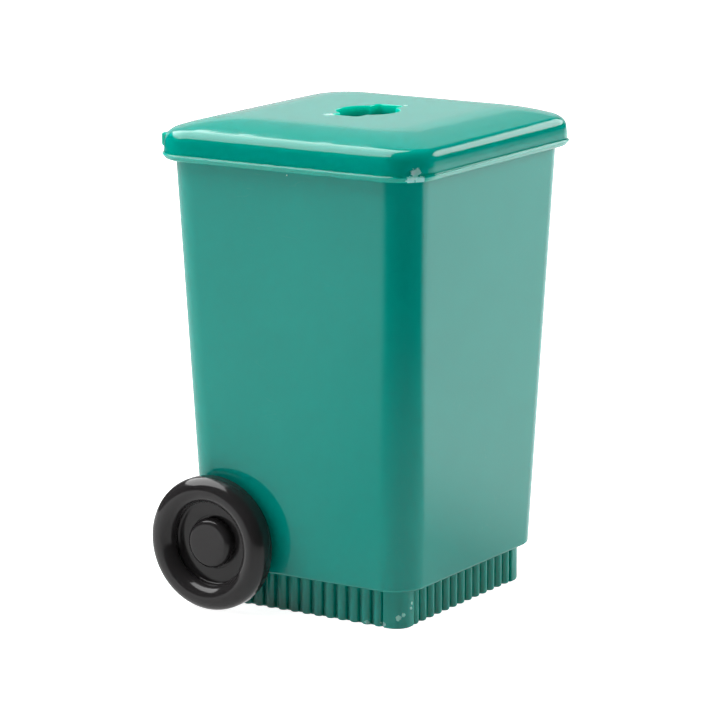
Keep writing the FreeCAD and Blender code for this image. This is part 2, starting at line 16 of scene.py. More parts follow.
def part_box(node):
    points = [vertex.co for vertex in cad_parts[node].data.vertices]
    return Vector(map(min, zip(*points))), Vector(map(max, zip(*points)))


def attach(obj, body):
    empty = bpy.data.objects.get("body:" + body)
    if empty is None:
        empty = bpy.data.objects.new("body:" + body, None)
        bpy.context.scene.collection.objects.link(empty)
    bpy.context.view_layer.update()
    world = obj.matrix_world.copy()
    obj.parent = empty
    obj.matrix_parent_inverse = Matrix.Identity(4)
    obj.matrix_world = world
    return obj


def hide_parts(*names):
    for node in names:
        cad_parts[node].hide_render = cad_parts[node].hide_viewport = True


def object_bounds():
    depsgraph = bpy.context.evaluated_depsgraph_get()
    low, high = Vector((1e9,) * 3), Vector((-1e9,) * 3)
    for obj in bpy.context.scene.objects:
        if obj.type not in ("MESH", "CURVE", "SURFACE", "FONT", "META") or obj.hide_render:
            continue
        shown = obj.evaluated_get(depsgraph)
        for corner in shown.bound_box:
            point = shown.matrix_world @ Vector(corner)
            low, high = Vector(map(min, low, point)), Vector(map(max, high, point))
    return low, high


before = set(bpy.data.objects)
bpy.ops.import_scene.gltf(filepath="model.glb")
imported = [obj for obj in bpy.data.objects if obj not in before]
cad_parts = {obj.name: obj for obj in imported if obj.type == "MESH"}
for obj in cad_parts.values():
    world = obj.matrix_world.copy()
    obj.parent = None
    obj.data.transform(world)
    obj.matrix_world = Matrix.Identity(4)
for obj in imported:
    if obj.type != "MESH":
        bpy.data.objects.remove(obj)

MM = 0.001
cad_low, cad_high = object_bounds()
print("CAD box, mm:", [round(v / MM, 2) for v in (*cad_low, *cad_high)])

# %% [markdown]
# ## The camera
# A small object is usually taken with a long lens from half a metre away, so its upright
# edges stay nearly parallel. The camera stands in front and to the left, a little above.

# %% Camera
CAMERA_AZIMUTH = -57.8
CAMERA_ELEVATION = 12.0
CAMERA_DISTANCE = 0.5
CAMERA_LENS = 187.6
AIM_OFFSET = Vector((-0.73 * MM, -0.06 * MM, -1.05 * MM))


def direction(azimuth, elevation):
    """Unit vector from the object to a viewer; azimuth 0 stands in front, at -Y."""
    a = math.radians(azimuth)
    e = math.radians(elevation)
    return Vector((math.sin(a) * math.cos(e), -math.cos(a) * math.cos(e), math.sin(e)))


camera_data = bpy.data.cameras.new("camera")
camera_data.lens = CAMERA_LENS
camera_data.clip_start = 0.01
camera = bpy.data.objects.new("camera", camera_data)
bpy.context.scene.collection.objects.link(camera)
to_camera = direction(CAMERA_AZIMUTH, CAMERA_ELEVATION)
camera.location = (cad_low + cad_high) / 2 + AIM_OFFSET + to_camera * CAMERA_DISTANCE
camera.rotation_euler = to_camera.to_track_quat("Z", "Y").to_euler()
bpy.context.scene.camera = camera
print("camera at, mm:", [round(v / MM, 1) for v in camera.location])

# %% [markdown]
# ## The studio
# Glossy plastic shows the room more than its own colour. The room here is a pale wall behind the
# object and two soft boxes, one high at the back and one low to the right, that draw the bright
# lines on the lid's shoulder. Two fills light the sides and are not mirrored. Nothing bright
# stands on the viewer's side, so the corner that faces the viewer shows a dark band. Area lamps
# were chosen over a picture of a room, because each bright line then has one lamp to move.

# %% Lamps
scene = bpy.context.scene
scene.view_settings.view_transform = "Standard"
AIM_HEIGHT = 0.04


def soft_box(name, azimuth, elevation, distance, size, radiance, mirrored=True):
    """A rectangular lamp that faces the object; its power follows from how bright it looks."""
    data = bpy.data.lights.new(name, "AREA")
    data.shape = "RECTANGLE"
    data.size, data.size_y = size
    data.energy = radiance * math.pi * size[0] * size[1]
    lamp = bpy.data.objects.new(name, data)
    towards = direction(azimuth, elevation)
    lamp.location = Vector((0, 0, AIM_HEIGHT)) + towards * distance
    lamp.rotation_euler = towards.to_track_quat("Z", "Y").to_euler()
    lamp.visible_glossy = mirrored
    scene.collection.objects.link(lamp)
    return lamp


soft_box("back_box", -175, 56, 0.55, (0.76, 0.56), 4.2)
soft_box("right_box", 73, 23, 0.55, (0.30, 0.17), 3.9)
soft_box("back_wall", 122, 8, 0.9, (1.1, 0.34), 0.66)
soft_box("wall_top", 128, 30, 0.9, (0.85, 0.36), 0.42)
soft_box("left_fill", -135, 25, 0.8, (0.5, 0.5), 0.6, mirrored=False)
soft_box("right_fill", 48, 25, 0.8, (0.5, 0.5), 3.6, mirrored=False)

# %% [markdown]
# ## The surround
# Behind everything the picture is plain white, but a white world would also wash out the
# plastic. A Light Path node gives the camera a white surround and everything else a dark one.

# %% White to the eye, dark to the object
ROOM_LEVEL = 0.04

world = bpy.data.worlds.new("surround")
world.use_nodes = True
dark_room = world.node_tree.nodes["Background"]
dark_room.inputs["Strength"].default_value = ROOM_LEVEL
pale_room = world.node_tree.nodes.new("ShaderNodeBackground")
pale_room.inputs["Color"].default_value = (1, 1, 1, 1)
choice = world.node_tree.nodes.new("ShaderNodeMixShader")
rays = world.node_tree.nodes.new("ShaderNodeLightPath")
world.node_tree.links.new(rays.outputs["Is Camera Ray"], choice.inputs[0])
world.node_tree.links.new(dark_room.outputs[0], choice.inputs[1])
world.node_tree.links.new(pale_room.outputs[0], choice.inputs[2])
world.node_tree.links.new(choice.outputs[0], world.node_tree.nodes["World Output"].inputs[0])
scene.world = world
world.cycles_visibility.glossy = False
print("surround:", world.name, "level:", ROOM_LEVEL)

# %% [markdown]
# ## The table
# The table has two sheets: a white one that is seen and throws light up, and one just below it
# that only mirror images show. One sheet could do both, but then the walls' mirror image could
# not be made darker in front without a grey stain on the table.

# %% White table
FLOOR_RADIUS = 3.0
PAPER_GLOW_GIVEN, PAPER_GLOW_SEEN = 0.04, 0.95


def stage_disc(name, radius, height, material):
    """A round sheet of table."""
    steps = 96
    ring = [2 * math.pi * i / steps for i in range(steps)]
    points = [(radius * math.cos(t), radius * math.sin(t), height) for t in ring]
    mesh = bpy.data.meshes.new(name)
    mesh.from_pydata(points, [], [tuple(range(steps))])
    disc = bpy.data.objects.new(name, mesh)
    disc.data.materials.append(material)
    scene.collection.objects.link(disc)
    return disc


def paper_material():
    """White paper that glows a little, as on a light table, so that it stays pure white."""
    material = bpy.data.materials.new("white_paper")
    material.use_nodes = True
    shader = material.node_tree.nodes["Principled BSDF"]
    shader.inputs["Base Color"].default_value = (0.8, 0.8, 0.8, 1)
    shader.inputs["Roughness"].default_value = 0.9
    shader.inputs["Specular IOR Level"].default_value = 0.0
    shader.inputs["Emission Color"].default_value = (1, 1, 1, 1)
    rays = material.node_tree.nodes.new("ShaderNodeLightPath")
    glow = material.node_tree.nodes.new("ShaderNodeMapRange")
    glow.inputs["To Min"].default_value = PAPER_GLOW_GIVEN
    glow.inputs["To Max"].default_value = PAPER_GLOW_SEEN
    material.node_tree.links.new(rays.outputs["Is Camera Ray"], glow.inputs["Value"])
    material.node_tree.links.new(glow.outputs["Result"], shader.inputs["Emission Strength"])
    return material


floor = stage_disc("floor", FLOOR_RADIUS, 0.0, paper_material())
floor.visible_glossy = False
print("floor width in m:", round(floor.dimensions.x, 2))

# %% [markdown]
# ## Shader groups that the finishes share
# Each effect is one node group with named inputs, so every material can use it with its own
# values. The groups read object coordinates in metres, and each piece's origin is the
# object's own origin, so a pattern stays with its piece when the piece moves.

# %% Helpers for node groups
def new_group(name, inputs, outputs):
    """A shader node group with its input and output sockets, and its two end nodes."""
    group = bpy.data.node_groups.new(name, "ShaderNodeTree")
    for label, kind, value in inputs:
        socket = group.interface.new_socket(label, in_out="INPUT", socket_type=kind)
        socket.default_value = value
    for label, kind in outputs:
        group.interface.new_socket(label, in_out="OUTPUT", socket_type=kind)
    start = group.nodes.new("NodeGroupInput")
    end = group.nodes.new("NodeGroupOutput")
    return group, start, end


def feed(tree, socket, value):
    """Link another socket into this one, or set a plain value on it."""
    if isinstance(value, bpy.types.NodeSocket):
        tree.links.new(value, socket)
    else:
        socket.default_value = value


def math_node(tree, operation, first, second=0.0, clamp=False):
    node = tree.nodes.new("ShaderNodeMath")
    node.operation = operation
    node.use_clamp = clamp
    feed(tree, node.inputs[0], first)
    feed(tree, node.inputs[1], second)
    return node.outputs[0]


def ramp(tree, value, low, high, to_low=0.0, to_high=1.0):
    """Map low..high smoothly onto to_low..to_high."""
    node = tree.nodes.new("ShaderNodeMapRange")
    node.interpolation_type = "SMOOTHSTEP"
    feed(tree, node.inputs["Value"], value)
    feed(tree, node.inputs["From Min"], low)
    feed(tree, node.inputs["From Max"], high)
    feed(tree, node.inputs["To Min"], to_low)
    feed(tree, node.inputs["To Max"], to_high)
    return node.outputs["Result"]


def object_place(tree):
    return tree.nodes.new("ShaderNodeTexCoord").outputs["Object"]


def noise_value(tree, place, scale, detail=2.0, roughness=0.5):
    node = tree.nodes.new("ShaderNodeTexNoise")
    tree.links.new(place, node.inputs["Vector"])
    feed(tree, node.inputs["Scale"], scale)
    node.inputs["Detail"].default_value = detail
    node.inputs["Roughness"].default_value = roughness
    return node.outputs["Fac"]


def stretched(tree, place, scale, turn=(0, 0, 0)):
    """The same place, turned and then stretched, for marks that run one way."""
    node = tree.nodes.new("ShaderNodeMapping")
    tree.links.new(place, node.inputs["Vector"])
    node.inputs["Rotation"].default_value = turn
    node.inputs["Scale"].default_value = scale
    return node.outputs["Vector"]


print("node helpers are ready")

# %% [markdown]
# ## The table as mirror images show it
# On the walls the mirrored table is brightest near the foot, fades upwards, and is brighter on
# the right. Two wedges keep a dark gap towards the viewer, which becomes the dark band down the
# near corner. The brightness is drawn with nodes on the table, fixed in the room.

# %% Mirrored table
MIRROR_RADIUS, MIRROR_DROP = 1.1, 0.0002
TABLE_LEFT, TABLE_RIGHT = 0.95, 1.6
FADE_LEFT, FADE_RIGHT = (0.26, 0.60), (0.40, 1.05)
SIDE_BLEND = 0.1
# which side, half-angle of the dark gap in degrees, and where its edge starts and ends
WEDGE_SIDES = ((-1, 48, -0.05, 0.045), (1, 80, -0.03, 0.04))
FOOT_GLOW, FOOT_NEAR, FOOT_FAR = 0.55, 0.02, 0.16


def table_glow():
    """Bright beside the object, brighter to the right, dark far away and towards the viewer."""
    material = bpy.data.materials.new("table_glow")
    material.use_nodes = True
    tree = material.node_tree
    tree.nodes.remove(tree.nodes["Principled BSDF"])
    place = object_place(tree)
    viewer = Vector((to_camera.x, to_camera.y, 0)).normalized()
    aside = Vector((-viewer.y, viewer.x, 0))

    def along(axis):
        node = tree.nodes.new("ShaderNodeVectorMath")
        node.operation = "DOT_PRODUCT"
        tree.links.new(place, node.inputs[0])
        node.inputs[1].default_value = axis
        return node.outputs["Value"]

    toward, right = along(viewer), along(aside)
    length = tree.nodes.new("ShaderNodeVectorMath")
    length.operation = "LENGTH"
    tree.links.new(place, length.inputs[0])
    level = ramp(tree, right, -SIDE_BLEND, SIDE_BLEND, TABLE_LEFT, TABLE_RIGHT)
    near_edge = ramp(tree, right, -SIDE_BLEND, SIDE_BLEND, FADE_LEFT[0], FADE_RIGHT[0])
    far_edge = ramp(tree, right, -SIDE_BLEND, SIDE_BLEND, FADE_LEFT[1], FADE_RIGHT[1])
    reach = ramp(tree, length.outputs["Value"], near_edge, far_edge, 1.0, 0.0)
    sides = []
    for sign, angle, before, after in WEDGE_SIDES:
        out = math_node(tree, "MULTIPLY", right, sign * math.cos(math.radians(angle)))
        back = math_node(tree, "MULTIPLY", toward, math.sin(math.radians(angle)))
        sides.append(ramp(tree, math_node(tree, "SUBTRACT", out, back), before, after))
    wedge = math_node(tree, "MAXIMUM", sides[0], sides[1])
    near = ramp(tree, length.outputs["Value"], FOOT_NEAR, FOOT_FAR, FOOT_GLOW, 0.0)
    wedge = math_node(tree, "MAXIMUM", wedge, near)
    level = math_node(tree, "MULTIPLY", level, math_node(tree, "MULTIPLY", reach, wedge))
    glow = tree.nodes.new("ShaderNodeEmission")
    tree.links.new(level, glow.inputs["Strength"])
    tree.links.new(glow.outputs["Emission"], tree.nodes["Material Output"].inputs["Surface"])
    return material


table = stage_disc("table_seen_in_gloss", MIRROR_RADIUS, -MIRROR_DROP, table_glow())
table.visible_camera = False
table.visible_diffuse = False
table.visible_shadow = False
table.visible_transmission = False
print("table seen in gloss, width in m:", round(table.dimensions.x, 2))

# %% [markdown]
# ## Moulded skin
# A polished mould leaves plastic almost flat, with slow sink marks where it cooled and a grain
# too fine to see, which only softens the gloss. Two noises at very different scales give both.

# %% Group: moulded skin
def make_moulded_skin():
    """Slow sink marks and a fine grain, as on plastic that cooled in a polished mould."""
    group, start, end = new_group(
        "moulded_skin",
        [
            ("Sink Scale", "NodeSocketFloat", 90.0),
            ("Grain Scale", "NodeSocketFloat", 2600.0),
            ("Smooth", "NodeSocketFloat", 0.12),
            ("Rough", "NodeSocketFloat", 0.2),
        ],
        [
            ("Height", "NodeSocketFloat"),
            ("Roughness", "NodeSocketFloat"),
            ("Tone", "NodeSocketFloat"),
        ],
    )
    place = object_place(group)
    sink = noise_value(group, place, start.outputs["Sink Scale"], 1.0)
    grain = noise_value(group, place, start.outputs["Grain Scale"], 2.0, 0.6)
    patches = noise_value(group, place, 260.0, 3.0, 0.6)
    grain_part = math_node(group, "MULTIPLY", grain, 0.05)
    height = math_node(group, "ADD", sink, grain_part)
    feed(group, end.inputs["Height"], height)
    rough = ramp(group, patches, 0.35, 0.7, start.outputs["Smooth"], start.outputs["Rough"])
    feed(group, end.inputs["Roughness"], rough)
    feed(group, end.inputs["Tone"], ramp(group, sink, 0.3, 0.7))
    return group


moulded_skin = make_moulded_skin()
print("group:", moulded_skin.name, "nodes:", len(moulded_skin.nodes))


# %% [markdown]
# ## Dust specks
# A few pale specks sit on any handled plastic. Scattered meshes would be heavy, so a Voronoi
# pattern picks some of its cells and puts one ragged dot in each.

# %% Group: dust specks
def make_dust_specks():
    """Tiny pale specks, one in some of the cells of a Voronoi pattern."""
    group, start, end = new_group(
        "dust_specks",
        [
            ("Cell Scale", "NodeSocketFloat", 300.0),
            ("Share", "NodeSocketFloat", 0.1),
            ("Size", "NodeSocketFloat", 0.035),
        ],
        [("Mask", "NodeSocketFloat")],
    )
    cells = group.nodes.new("ShaderNodeTexVoronoi")
    place = object_place(group)
    warp = noise_value(group, place, 3000.0)
    group.links.new(place, cells.inputs["Vector"])
    group.links.new(start.outputs["Cell Scale"], cells.inputs["Scale"])
    chance = group.nodes.new("ShaderNodeSeparateColor")
    group.links.new(cells.outputs["Color"], chance.inputs["Color"])
    limit = math_node(group, "SUBTRACT", 1.0, start.outputs["Share"])
    chosen = math_node(group, "GREATER_THAN", chance.outputs["Red"], limit)
    size = math_node(group, "MULTIPLY", chance.outputs["Green"], start.outputs["Size"])
    ragged = math_node(group, "MULTIPLY", size, math_node(group, "ADD", warp, 0.4))
    inside = math_node(group, "LESS_THAN", cells.outputs["Distance"], ragged)
    feed(group, end.inputs["Mask"], math_node(group, "MULTIPLY", inside, chosen))
    return group


dust_specks = make_dust_specks()
print("group:", dust_specks.name, "nodes:", len(dust_specks.nodes))


# %% [markdown]
# ## Hairline scratches
# Rubbing leaves short scratches that run one way. The thin middle line of a stretched noise
# looks like one, and a second noise keeps them to a few patches.

# %% Group: hairline scratches
def make_hairlines():
    """Short fine scratches that run one way: thin ridges of a stretched noise."""
    group, start, end = new_group(
        "hairlines",
        [("Across", "NodeSocketFloat", 900.0), ("Amount", "NodeSocketFloat", 0.3)],
        [("Mask", "NodeSocketFloat")],
    )
    place = object_place(group)
    masks = []
    for turn, stretch in (((0.3, 0.2, 0.5), (1, 0.05, 1)), ((0.9, 0.1, 1.9), (1, 0.08, 0.6))):
        lines = noise_value(
            group, stretched(group, place, stretch, turn), start.outputs["Across"], 0.0
        )
        off_ridge = math_node(group, "ABSOLUTE", math_node(group, "SUBTRACT", lines, 0.5))
        masks.append(ramp(group, off_ridge, 0.0, 0.006, 1.0, 0.0))
    both = math_node(group, "MAXIMUM", masks[0], masks[1])
    patches = ramp(group, noise_value(group, place, 140.0, 2.0), 0.52, 0.66)
    shown = math_node(group, "MULTIPLY", both, patches)
    feed(group, end.inputs["Mask"], math_node(group, "MULTIPLY", shown, start.outputs["Amount"]))
    return group


hairlines = make_hairlines()
print("group:", hairlines.name, "nodes:", len(hairlines.nodes))


# %% [markdown]
# ## Bruises and painted highlights
# A knock whitens plastic in a ragged spot, and the same ragged spot serves as a painted highlight
# where an edge catches light. The distance from one place, roughened by noise, makes the spot, so
# each mark is only a place and a reach.

# %% Group: bruise and painted highlight
def make_bruise_and_highlight():
    """A ragged whitened mark round one place, where the plastic was knocked; on the lid also used
    as a painted highlight.
    """
    group, start, end = new_group(
        "bruise_and_highlight",
        [
            ("Place", "NodeSocketVector", (0.0, 0.0, 0.0)),
            ("Reach", "NodeSocketFloat", 0.001),
            ("Hollow", "NodeSocketFloat", 0.0),
            ("Grain Scale", "NodeSocketFloat", 1800.0),
        ],
        [("Mask", "NodeSocketFloat")],
    )
    place = object_place(group)
    span = group.nodes.new("ShaderNodeVectorMath")
    span.operation = "DISTANCE"
    group.links.new(place, span.inputs[0])
    group.links.new(start.outputs["Place"], span.inputs[1])
    near = math_node(group, "DIVIDE", span.outputs["Value"], start.outputs["Reach"])
    grain = noise_value(group, place, start.outputs["Grain Scale"], 3.0, 0.65)
    edge = math_node(group, "ADD", near, math_node(group, "MULTIPLY", grain, 1.6))
    outside = ramp(group, edge, 1.35, 1.6, 1.0, 0.0)
    ragged = math_node(group, "ADD", grain, 0.5)
    core = math_node(group, "MULTIPLY", start.outputs["Hollow"], ragged)
    inside = math_node(group, "GREATER_THAN", near, core)
    feed(group, end.inputs["Mask"], math_node(group, "MULTIPLY", outside, inside))
    return group


bruise_and_highlight = make_bruise_and_highlight()
print("group:", bruise_and_highlight.name, "nodes:", len(bruise_and_highlight.nodes))


# %% [markdown]
# ## Painted glow in the hole
# Thin green plastic lets light through, so the wall of the pencil hole is brighter at the top
# and darker downwards. Subsurface scattering alone was too weak there, so a painted glow, a
# little emission, is added, kept to the inside of the hole by its height and its distance from
# the middle.

# %% Group: painted hole glow
BRIM = 2e-5


def make_painted_hole_glow():
    """Painted glow on the wall of a hole round the middle, strongest on top, in place of light
    soaking through thin plastic.
    """
    group, start, end = new_group(
        "painted_hole_glow",
        [
            ("Low", "NodeSocketFloat", 0.061),
            ("High", "NodeSocketFloat", 0.065),
            ("Reach", "NodeSocketFloat", 0.008),
        ],
        [("Mask", "NodeSocketFloat")],
    )
    parts = group.nodes.new("ShaderNodeSeparateXYZ")
    group.links.new(object_place(group), parts.inputs["Vector"])
    x, y, z = parts.outputs["X"], parts.outputs["Y"], parts.outputs["Z"]
    span = math_node(group, "SQRT", math_node(
        group, "ADD", math_node(group, "MULTIPLY", x, x), math_node(group, "MULTIPLY", y, y)
    ))
    near = math_node(group, "LESS_THAN", span, start.outputs["Reach"])
    share = ramp(group, z, start.outputs["Low"], start.outputs["High"])
    under_top = math_node(group, "SUBTRACT", start.outputs["High"], BRIM)
    brim = math_node(group, "LESS_THAN", z, under_top)
    share = math_node(group, "MULTIPLY", share, brim)
    feed(group, end.inputs["Mask"], math_node(group, "MULTIPLY", share, near))
    return group


painted_hole_glow = make_painted_hole_glow()
print("group:", painted_hole_glow.name, "nodes:", len(painted_hole_glow.nodes))


# %% [markdown]
# ## The plastics
# Both plastics are polished mouldings. The colour sits in the material, so it hardly changes,
# and the life comes from slight sink marks, a fine grain in the gloss, a few dust specks,
# hairline scratches, and whitened marks where a corner was knocked. The lid also carries painted
# light: its green is painted lighter than the bin's, two whitened marks at the slot's ends are
# painted highlights, and the hole's wall has a painted glow.

# %% Moulded plastic
SOAK_COLOURS = (0.3, 1.0, 0.85)
HAIRLINE_AMOUNT, HAIRLINE_WEAR, WEAR_DULLS = 0.08, 0.25, 0.4


def place_group(tree, group, **values):
    node = tree.nodes.new("ShaderNodeGroup")
    node.node_tree = group
    for label, value in values.items():
        feed(tree, node.inputs[label.replace("_", " ")], value)
    return node


def mix_colour(tree, amount, under, over):
    node = tree.nodes.new("ShaderNodeMix")
    node.data_type = "RGBA"
    feed(tree, node.inputs[0], amount)
    feed(tree, node.inputs[6], under)
    feed(tree, node.inputs[7], over)
    return node.outputs[2]


def moulded_plastic(name, colours, wear_and_highlight_colour, gloss, relief=0.02, marks=(), dust=0.05, glow=0.35,
                    depth=0.8, painted_glow=None):
    """Glossy plastic: two close tones, gloss that varies, dust, scratches, bruises and painted
    highlights.

    painted_glow is (lowest z, highest z, reach, green and blue level) of a painted glow, emission
    that stands in for light soaking into a hole.
    """
    material = bpy.data.materials.new(name)
    material.use_nodes = True
    tree = material.node_tree
    shader = tree.nodes["Principled BSDF"]
    shader.inputs["IOR"].default_value = 1.5
    shader.inputs["Subsurface Weight"].default_value = glow
    shader.inputs["Subsurface Radius"].default_value = SOAK_COLOURS
    shader.inputs["Subsurface Scale"].default_value = depth * MM
    skin = place_group(tree, moulded_skin, Smooth=gloss[0], Rough=gloss[1])
    colour = mix_colour(tree, skin.outputs["Tone"], (*colours[0], 1), (*colours[1], 1))
    specks = place_group(tree, dust_specks, Share=dust)
    lines = place_group(tree, hairlines, Amount=HAIRLINE_AMOUNT)
    wear_and_highlights = math_node(tree, "MULTIPLY", lines.outputs["Mask"], HAIRLINE_WEAR)
    wear_and_highlights = math_node(tree, "MAXIMUM", wear_and_highlights, specks.outputs["Mask"])
    # knocks whiten the colour; on the lid some of these marks are painted highlights
    for place, reach, hollow in marks:
        mark = place_group(tree, bruise_and_highlight, Place=place * MM, Reach=reach * MM, Hollow=hollow)
        wear_and_highlights = math_node(tree, "MAXIMUM", wear_and_highlights, mark.outputs["Mask"])
    feed(tree, shader.inputs["Base Color"], mix_colour(tree, wear_and_highlights, colour, (*wear_and_highlight_colour, 1)))
    rough = math_node(tree, "MULTIPLY", wear_and_highlights, WEAR_DULLS)
    rough = math_node(tree, "ADD", skin.outputs["Roughness"], rough, clamp=True)
    feed(tree, shader.inputs["Roughness"], rough)
    # painted glow: emission on the hole's wall, strongest on top, stands in for light
    if painted_glow:
        low, high, reach, level = painted_glow
        inside = place_group(tree, painted_hole_glow, Low=low * MM, High=high * MM, Reach=reach * MM)
        lit = mix_colour(tree, inside.outputs["Mask"], (0, 0, 0, 1), (0, *level, 1))
        feed(tree, shader.inputs["Emission Color"], lit)
        shader.inputs["Emission Strength"].default_value = 1.0
    bump = tree.nodes.new("ShaderNodeBump")
    bump.inputs["Strength"].default_value = 1.0
    bump.inputs["Distance"].default_value = relief * MM
    height = math_node(tree, "ADD", skin.outputs["Height"], wear_and_highlights)
    tree.links.new(height, bump.inputs["Height"])
    tree.links.new(bump.outputs["Normal"], shader.inputs["Normal"])
    return material


GREEN = ((0.0, 0.392, 0.326), (0.0, 0.406, 0.338))
# painted light: the lid's green is the bin's green made about 8% lighter, so the lid looks more
# brightly lit
GREEN_LID_PAINTED_LIGHTER = ((0.0, 0.425, 0.345), (0.0, 0.441, 0.358))
# pale colour of wear marks, also used for the lid's painted highlights
GREEN_WEAR_AND_HIGHLIGHT = (0.44, 0.90, 0.80)
BLACK = ((0.028, 0.026, 0.027), (0.034, 0.032, 0.033))
BLACK_WORN = (0.30, 0.30, 0.31)
print("colours:", len(GREEN + GREEN_LID_PAINTED_LIGHTER + BLACK), "tones in pairs")

# %% [markdown]
# ## Lofted mouldings
# The bin, the lid and the collar all have rounded rectangular sections, so each is a stack of
# closed loops joined by quads. Every loop uses the same list of directions from the middle.
# The directions crowd together at the corners, where the shape turns.

# %% Loops and lofts
CORNER_START, CORNER_END = 31.0, 55.0
SLOT_CORNER_START, SLOT_CORNER_STEPS = 13.5, 14
CROSSING_ANGLES = {28.5, 29.0}


def loop_directions():
    """Angles round the middle, every 2 degrees and every half degree at the corners."""
    quarter = {float(a) for a in range(0, 91, 2)}
    fine = int((CORNER_END - CORNER_START) * 2)
    quarter |= {CORNER_START + i / 2 for i in range(fine + 1)}
    quarter |= {SLOT_CORNER_START + i * 0.5 for i in range(SLOT_CORNER_STEPS)}
    quarter |= CROSSING_ANGLES
    full = set()
    for angle in quarter:
        full |= {angle, 180 - angle, 180 + angle, (360 - angle) % 360}
    return [math.radians(a) for a in sorted(full)]


DIRECTIONS = loop_directions()
print("directions in each loop:", len(DIRECTIONS))


def rounded_reach(angle, half_x, half_y, corner):
    """Distance from the middle to a rounded rectangle, in one direction."""
    c, s = abs(math.cos(angle)), abs(math.sin(angle))
    if s * half_x <= c * (half_y - corner):
        return half_x / c
    if c * half_y <= s * (half_x - corner):
        return half_y / s
    centre_x, centre_y = half_x - corner, half_y - corner
    along = c * centre_x + s * centre_y
    return along + math.sqrt(along**2 - centre_x**2 - centre_y**2 + corner**2)


def rounded_loop(half_x, half_y, corner, z):
    points = []
    for angle in DIRECTIONS:
        reach = rounded_reach(angle, half_x, half_y, corner)
        points.append(Vector((reach * math.cos(angle), reach * math.sin(angle), z)))
    return points


def loft_faces(loops, count, closed):
    """Quads between each loop and the next, and back to the first if closed."""
    faces = []
    spans = loops if closed else loops - 1
    for level in range(spans):
        a, b = level * count, ((level + 1) % loops) * count
        for i in range(count):
            j = (i + 1) % count
            faces.append((a + i, a + j, b + j, b + i))
    return faces


def new_piece(name, points, faces, material, body, replaced=(), crease=35.0):
    """A mesh in millimetres becomes a smooth-shaded piece in metres that rides on a body."""
    mesh = bpy.data.meshes.new(name)
    mesh.from_pydata([Vector(p) * MM for p in points], [], faces)
    mesh.validate()
    mesh.shade_smooth()
    mesh.set_sharp_from_angle(angle=math.radians(crease))
    piece = bpy.data.objects.new(name, mesh)
    piece.data.materials.append(material)
    scene.collection.objects.link(piece)
    weighted = piece.modifiers.new("even_shading", "WEIGHTED_NORMAL")
    weighted.keep_sharp = True
    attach(piece, body)
    for node in replaced:
        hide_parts(node)
    print(name, "vertices:", len(mesh.vertices), "rides on:", body)
    return piece


def arc_steps(start, end, count):
    """Angles in radians from start to end degrees, both included."""
    return [math.radians(start + (end - start) * i / count) for i in range(count + 1)]


# %% [markdown]
# ## The bin
# The bin is one tapered shell with a small rounding at its foot and its rim, and a ledge
# inside round the opening that takes the base's collar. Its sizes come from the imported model.

# %% Bin shell
bin_low, bin_high = (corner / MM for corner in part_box("bin_body"))
base_low, base_high = (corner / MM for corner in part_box("base_plug"))
WALL = 1.5
BIN_CORNER = 4.4
FOOT_HALF_X, FOOT_HALF_Y = 17.35, 16.75
LEDGE = 1.5
COLLAR_INSET = 1.75
PUSH_GAP = 0.15
BASE_CORNER = 2.2

green_bin = moulded_plastic("green_bin_plastic", GREEN, GREEN_WEAR_AND_HIGHLIGHT, (0.05, 0.09))


def bin_section(z, inset, corner_cut=None):
    """A loop of the bin at height z, set in from its outside by inset."""
    share = (z - bin_low.z) / (bin_high.z - bin_low.z)
    half_x = FOOT_HALF_X + (bin_high.x - FOOT_HALF_X) * share - inset
    half_y = FOOT_HALF_Y + (bin_high.y - FOOT_HALF_Y) * share - inset
    cut = inset if corner_cut is None else corner_cut
    return rounded_loop(half_x, half_y, BIN_CORNER - cut, z)


def make_bin():
    foot_round, rim_round = 0.4, 0.25
    levels = []
    for t in arc_steps(-90, 0, 6):
        z = bin_low.z + foot_round * (1 + math.sin(t))
        levels.append(bin_section(z, foot_round * (1 - math.cos(t))))
    for i in range(1, 8):
        levels.append(bin_section(bin_low.z + (bin_high.z - bin_low.z) * i / 8, 0))
    for t in arc_steps(0, 180, 8):
        z = bin_high.z - rim_round * (1 - math.sin(t))
        across = rim_round if t < math.pi / 2 else WALL - rim_round
        levels.append(bin_section(z, across - rim_round * math.cos(t)))
    ledge_top = bin_low.z + LEDGE
    levels.append(bin_section(ledge_top + 0.6, WALL))
    for t in arc_steps(0, 90, 4):
        z = ledge_top + 0.5 * (1 - math.sin(t))
        levels.append(bin_section(z, WALL + 0.5 * (1 - math.cos(t))))
    opening_x = base_high.x - COLLAR_INSET + PUSH_GAP
    opening_y = base_high.y - COLLAR_INSET + PUSH_GAP
    for z in (ledge_top, bin_low.z):
        levels.append(rounded_loop(opening_x, opening_y, BASE_CORNER + PUSH_GAP, z))
    points = [p for level in levels for p in level]
    faces = loft_faces(len(levels), len(DIRECTIONS), closed=True)
    return new_piece(
        "bin_shell", points, faces, green_bin, "bin", ["bin_body"]
    )


bin_shell = make_bin()

# %% [markdown]
# ## The lid
# The lid is a cap: a skirt with a thin lip along its lower edge, a rounded shoulder, a border
# that slopes up gently, and a flat top with the pencil hole. The hole is a circle crossed by a
# slot. One loft runs from the skirt's inside, over the top, down through the hole and back
# along the underside.

